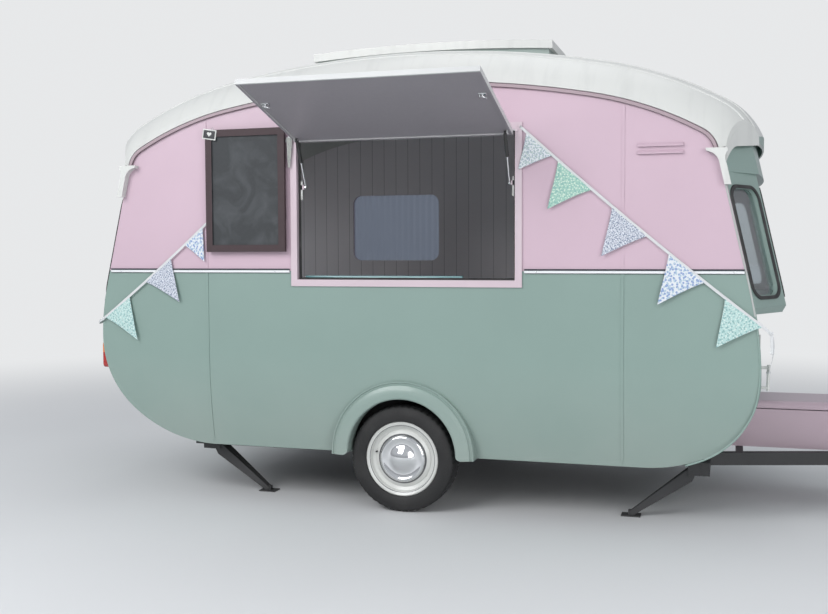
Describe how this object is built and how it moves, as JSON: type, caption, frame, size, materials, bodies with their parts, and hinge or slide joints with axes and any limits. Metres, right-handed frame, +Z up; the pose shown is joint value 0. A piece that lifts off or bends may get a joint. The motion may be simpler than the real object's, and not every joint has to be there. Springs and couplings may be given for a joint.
{
  "type": "ice cream caravan",
  "caption": "Touring caravan with a raised roof lantern and bay windows, fitted out as an ice cream kiosk, its side hatch flap held open on gas struts.",
  "frame": {"origin": "centre of the tow ball socket at the front of the drawbar", "axes": "+X forward along the drawbar, +Y to the left side with the entrance door, +Z up"},
  "size_m": [4.9325, 2.7887, 2.5919],
  "materials": {
    "body_paint": "gloss paint, pink over sage green, split at the belt",
    "roof_paint": "satin off-white paint",
    "green_paint": "gloss sage green paint",
    "pink_paint": "gloss pink paint",
    "white_paint": "satin white paint",
    "cream_paint": "gloss cream paint",
    "lantern_paint": "satin grey green paint",
    "dark_paint": "satin black paint, dusty",
    "zinc": "zinc-plated steel",
    "bright_rail": "polished extrusion",
    "chrome": "polished, slightly dulled",
    "glass": "clear",
    "black_rubber": "matt",
    "tyre": "matt, dusty",
    "lamp_lens": "amber over red lens",
    "plywood": "sealed plywood",
    "counter_wood": "painted wood, teal edge",
    "board": "slate board in a dark frame",
    "black_plastic": "matt",
    "bunting_tape": "white cotton tape",
    "bunting_cloth": "printed cotton"
  },
  "bodies": {
    "caravan": {"axle_beam": "dark_paint", "belt_rails": "bright_rail", "bunting_cord_front": "bunting_tape", "bunting_cord_rear": "bunting_tape", "bunting_flags_front": "bunting_cloth", "bunting_flags_rear": "bunting_cloth", "chalkboard": "board", "chassis_frame": "dark_paint", "drain_spouts": "roof_paint", "drip_rails": "bright_rail", "floor_panel": "plywood", "front_bay_frame": "green_paint", "front_bay_glass": "glass", "front_bay_seals": "black_rubber", "front_wall": "body_paint", "gas_locker": "pink_paint", "grab_handles": "white_paint", "handbrake_lever": "zinc", "hatch_frame": "body_paint", "jockey_tube": "zinc", "lantern_roof": "roof_paint", "lantern_walls": "lantern_paint", "rear_bay_frame": "green_paint", "rear_bay_glass": "glass", "rear_bay_seals": "black_rubber", "rear_wall": "body_paint", "roof_shell": "roof_paint", "serving_counter": "counter_wood", "side_glass": "glass", "side_wall_left_front": "body_paint", "side_wall_left_rear": "body_paint", "side_wall_right_front": "body_paint", "side_wall_right_middle": "body_paint", "side_wall_right_rear": "body_paint", "tail_lamps": "lamp_lens", "tow_coupling": "zinc", "wheel_arches": "body_paint"},
    "wheel_right": {"tyre_right": "tyre", "wheel_rim_right": "cream_paint", "hubcap_right": "chrome"},
    "wheel_left": {"tyre_left": "tyre", "wheel_rim_left": "cream_paint", "hubcap_left": "chrome"},
    "flap": {"hatch_flap": "body_paint"},
    "strut_tube_rear": {"strut_tube_rear": "black_plastic"},
    "strut_rod_rear": {"strut_rod_rear": "chrome"},
    "strut_tube_front": {"strut_tube_front": "black_plastic"},
    "strut_rod_front": {"strut_rod_front": "chrome"},
    "door": {"entrance_door": "body_paint", "door_glass": "glass"},
    "locker_lid": {"gas_locker_lid": "pink_paint"},
    "steady_front_right": {"steady_front_right": "dark_paint"},
    "steady_front_left": {"steady_front_left": "dark_paint"},
    "steady_rear_right": {"steady_rear_right": "dark_paint"},
    "steady_rear_left": {"steady_rear_left": "dark_paint"},
    "jockey_leg": {"jockey_leg": "zinc"},
    "jockey_wheel": {"jockey_wheel": "black_rubber"}
  },
  "joints": [
    {"name": "wheel_right_spin", "type": "hinge", "parent": "caravan", "child": "wheel_right", "pos_m": [-2.95, -0.9025, -0.093], "axis": [0, 1, 0], "continuous": true},
    {"name": "wheel_left_spin", "type": "hinge", "parent": "caravan", "child": "wheel_left", "pos_m": [-2.95, 0.9025, -0.093], "axis": [0, 1, 0], "continuous": true},
    {"name": "flap_hinge", "type": "hinge", "parent": "caravan", "child": "flap", "pos_m": [-2.929, -1.0123, 1.6294], "axis": [1, 0, 0], "range_deg": [0, 106]},
    {"name": "strut_rear_pivot", "type": "hinge", "parent": "flap", "child": "strut_tube_rear", "pos_m": [-3.493, -1.08182, 1.61188], "axis": [1, 0, 0], "range_deg": [-129.4, 1]},
    {"name": "strut_rear_slide", "type": "slide", "parent": "strut_tube_rear", "child": "strut_rod_rear", "axis": [0, -0.4281, 0.9037], "range_m": [-0.0005, 0.07077]},
    {"name": "strut_front_pivot", "type": "hinge", "parent": "flap", "child": "strut_tube_front", "pos_m": [-2.365, -1.08182, 1.61188], "axis": [1, 0, 0], "range_deg": [-129.4, 1]},
    {"name": "strut_front_slide", "type": "slide", "parent": "strut_tube_front", "child": "strut_rod_front", "axis": [0, -0.4281, 0.9037], "range_m": [-0.0005, 0.07077]},
    {"name": "door_hinge", "type": "hinge", "parent": "caravan", "child": "door", "pos_m": [-1.86, 1.009, 0.788], "axis": [0, 0, -1], "range_deg": [0, 110]},
    {"name": "locker_lid_hinge", "type": "hinge", "parent": "caravan", "child": "locker_lid", "pos_m": [-1.135, 0, 0.1447], "axis": [0, -1, 0], "range_deg": [0, 60]},
    {"name": "steady_front_right_fold", "type": "hinge", "parent": "caravan", "child": "steady_front_right", "pos_m": [-1.453, -0.7, -0.118], "axis": [0, 1, 0], "range_deg": [0, 36]},
    {"name": "steady_front_left_fold", "type": "hinge", "parent": "caravan", "child": "steady_front_left", "pos_m": [-1.453, 0.7, -0.118], "axis": [0, 1, 0], "range_deg": [0, 36]},
    {"name": "steady_rear_right_fold", "type": "hinge", "parent": "caravan", "child": "steady_rear_right", "pos_m": [-4.165, -0.7, -0.118], "axis": [0, -1, 0], "range_deg": [0, 36]},
    {"name": "steady_rear_left_fold", "type": "hinge", "parent": "caravan", "child": "steady_rear_left", "pos_m": [-4.165, 0.7, -0.118], "axis": [0, -1, 0], "range_deg": [0, 36]},
    {"name": "jockey_leg_slide", "type": "slide", "parent": "caravan", "child": "jockey_leg", "axis": [0, 0, 1], "range_m": [0, 0.085]},
    {"name": "jockey_wheel_spin", "type": "hinge", "parent": "jockey_leg", "child": "jockey_wheel", "pos_m": [-0.356, -0.23532, -0.28], "axis": [0, 1, 0], "continuous": true}
  ],
  "couplings": [
    {"joint": "strut_rear_pivot", "follows": "flap_hinge", "ratio": -1.2113},
    {"joint": "strut_rear_slide", "follows": "flap_hinge", "m_per_rad": 0.037981},
    {"joint": "strut_front_pivot", "follows": "flap_hinge", "ratio": -1.2113},
    {"joint": "strut_front_slide", "follows": "flap_hinge", "m_per_rad": 0.037981}
  ]
}
